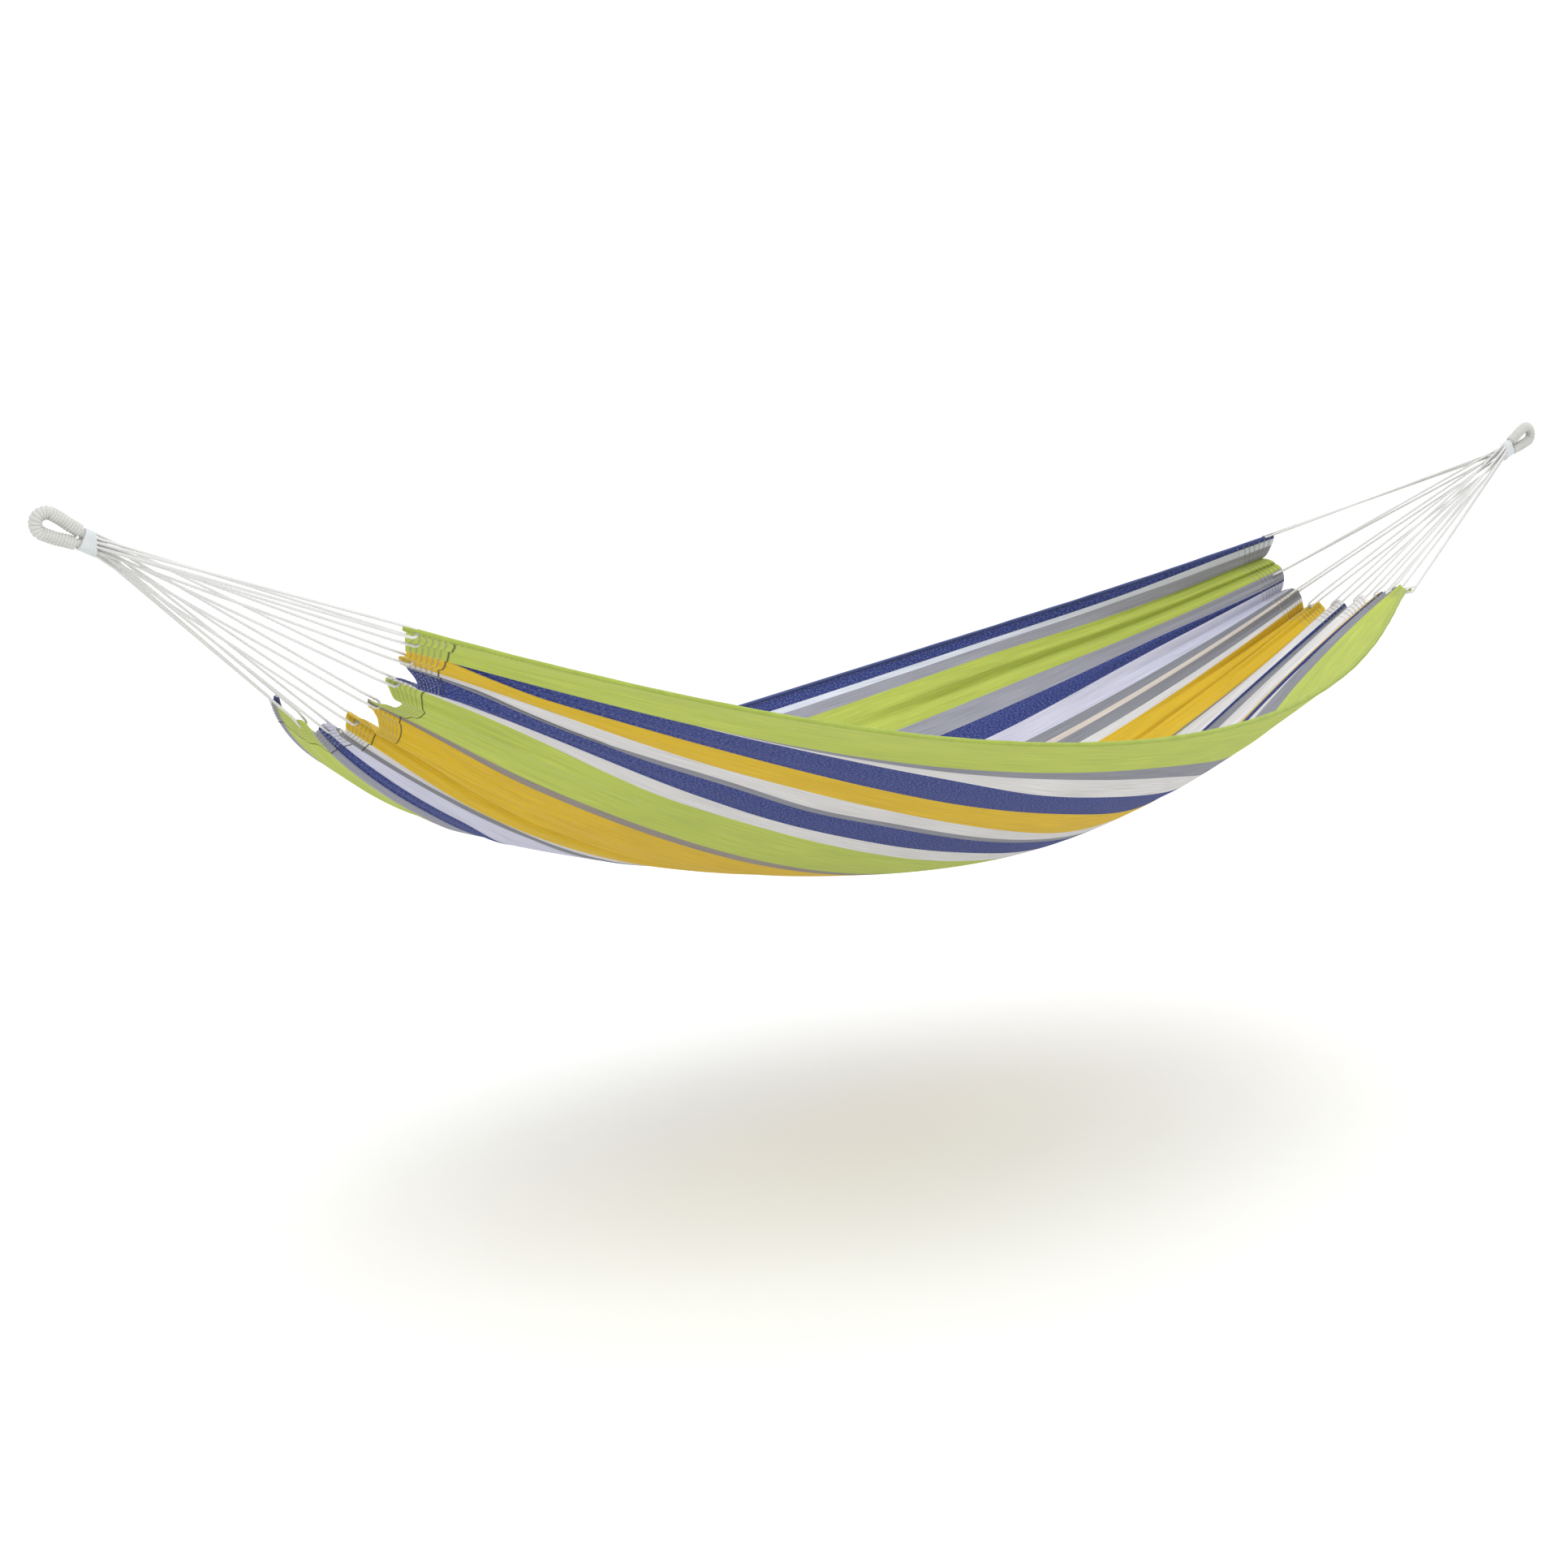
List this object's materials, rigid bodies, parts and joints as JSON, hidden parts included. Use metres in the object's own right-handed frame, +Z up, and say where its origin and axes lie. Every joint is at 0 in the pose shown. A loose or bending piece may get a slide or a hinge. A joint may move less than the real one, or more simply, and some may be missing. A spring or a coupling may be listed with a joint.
{
  "type": "hammock",
  "caption": "Striped cloth hammock without spreader bars, hung by fans of clew cords from a wrapped rope eye at each end; the bed swings sideways about the line between its eyes.",
  "frame": {"origin": "the seat of the left eye, on the inner wall of its loop where its hook carries it", "axes": "+X from the left eye to the right eye, +Y to the far side of the bed, +Z up"},
  "size_m": [3.0792, 1.3668, 0.718],
  "materials": {
    "striped_cloth": "matt woven cotton, striped lengthways in green, yellow, denim blue, grey and white",
    "edge_hem": "matt woven cotton, rolled and stitched",
    "end_band": "matt woven cotton, doubled, with stitch rows",
    "clew_cord": "undyed twisted cotton cord",
    "eye_cord": "undyed cotton cord, closely wound",
    "seizing": "pale whipping twine"
  },
  "bodies": {
    "eyes": {"left_eye_core": "eye_cord", "left_eye_wrap": "eye_cord", "left_neck_seizing": "seizing", "right_eye_core": "eye_cord", "right_eye_wrap": "eye_cord", "right_neck_seizing": "seizing"},
    "sling": {"bed_cloth": "striped_cloth", "near_edge_hem": "edge_hem", "far_edge_hem": "edge_hem", "left_end_band": "end_band", "right_end_band": "end_band", "left_clew_cord_1": "clew_cord", "left_clew_cord_2": "clew_cord", "left_clew_cord_3": "clew_cord", "left_clew_cord_4": "clew_cord", "left_clew_cord_5": "clew_cord", "left_clew_cord_6": "clew_cord", "left_clew_cord_7": "clew_cord", "left_clew_cord_8": "clew_cord", "left_clew_cord_9": "clew_cord", "right_clew_cord_1": "clew_cord", "right_clew_cord_2": "clew_cord", "right_clew_cord_3": "clew_cord", "right_clew_cord_4": "clew_cord", "right_clew_cord_5": "clew_cord", "right_clew_cord_6": "clew_cord", "right_clew_cord_7": "clew_cord", "right_clew_cord_8": "clew_cord", "right_clew_cord_9": "clew_cord"}
  },
  "joints": [
    {"name": "swing", "type": "hinge", "parent": "eyes", "child": "sling", "pos_m": [0.0701, 0, -0.03419], "axis": [1, 0, 0], "range_deg": [-35, 35]}
  ]
}
